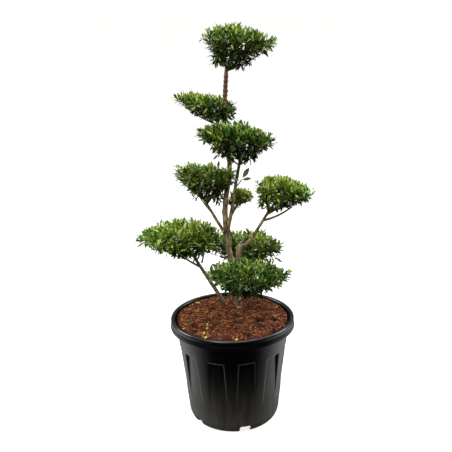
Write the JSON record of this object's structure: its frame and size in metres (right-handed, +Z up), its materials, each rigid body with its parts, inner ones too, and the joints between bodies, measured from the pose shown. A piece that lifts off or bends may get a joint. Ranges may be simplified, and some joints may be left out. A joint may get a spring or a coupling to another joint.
{
  "type": "potted cloud-pruned holly bonsai",
  "caption": "Small-leaved evergreen trained as a cloud-pruned garden bonsai, with domed leaf pads on bare stems, growing in a round ribbed black nursery pot.",
  "frame": {"origin": "centre of the pot's flat underside, on the pot's axis", "axes": "+Z up along the pot's axis, +X to the right and -Y towards the viewer as the plant is usually shown"},
  "size_m": [0.5195, 0.367, 1.0814],
  "materials": {
    "pot_plastic": "injection-moulded black plastic with a low sheen",
    "coir_soil": "loose reddish brown coir fibre",
    "bark": "thin grey-brown bark with fine cracks",
    "leaves": "small glossy green leaves"
  },
  "bodies": {
    "root": {"pot": "pot_plastic", "soil": "coir_soil", "trunk": "bark", "bough_low_left": "bark", "bough_low_back": "bark", "bough_low_front": "bark", "bough_right": "bark", "bough_mid_left": "bark", "bough_mid_back": "bark", "bough_centre": "bark", "bough_upper_left": "bark", "foliage_top": "leaves", "foliage_upper_left": "leaves", "foliage_centre": "leaves", "foliage_mid_left": "leaves", "foliage_mid_back": "leaves", "foliage_right": "leaves", "foliage_low_left": "leaves", "foliage_low_back": "leaves", "foliage_low_front": "leaves"}
  },
  "joints": []
}
